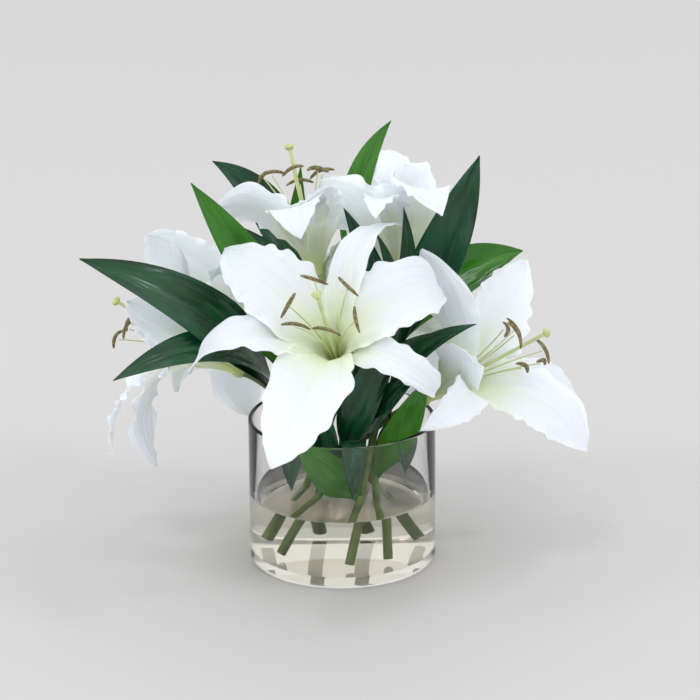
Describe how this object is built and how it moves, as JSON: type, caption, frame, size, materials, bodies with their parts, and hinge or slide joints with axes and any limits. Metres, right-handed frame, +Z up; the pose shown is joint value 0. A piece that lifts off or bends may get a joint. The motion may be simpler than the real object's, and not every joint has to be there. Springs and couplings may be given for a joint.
{
  "type": "lilies in a vase",
  "caption": "White lilies on leafy stems, standing in water in a short clear glass cylinder vase; a table decoration that rests on its flat bottom.",
  "frame": {"origin": "centre of the vase's flat bottom", "axes": "+Z up; -Y towards the front, where the largest open lily faces; +X to the right seen from the front"},
  "size_m": [0.4006, 0.3648, 0.3323],
  "materials": {
    "vase": "clear polished",
    "water": "clear",
    "stem": "semi-gloss leaf",
    "bloom": "satin petal",
    "stamens": "matte"
  },
  "bodies": {
    "root": {"vase": "vase", "water": "water", "stem_front": "stem", "bloom_front": "bloom", "stamens_front": "stamens", "stem_right": "stem", "bloom_right": "bloom", "stamens_right": "stamens", "stem_top_right": "stem", "bloom_top_right": "bloom", "stamens_top_right": "stamens", "stem_back_right": "stem", "bloom_back_right": "bloom", "stamens_back_right": "stamens", "stem_back_left": "stem", "bloom_back_left": "bloom", "stamens_back_left": "stamens", "stem_top_left": "stem", "bloom_top_left": "bloom", "stamens_top_left": "stamens", "stem_left": "stem", "bloom_left": "bloom", "stamens_left": "stamens"}
  },
  "joints": []
}
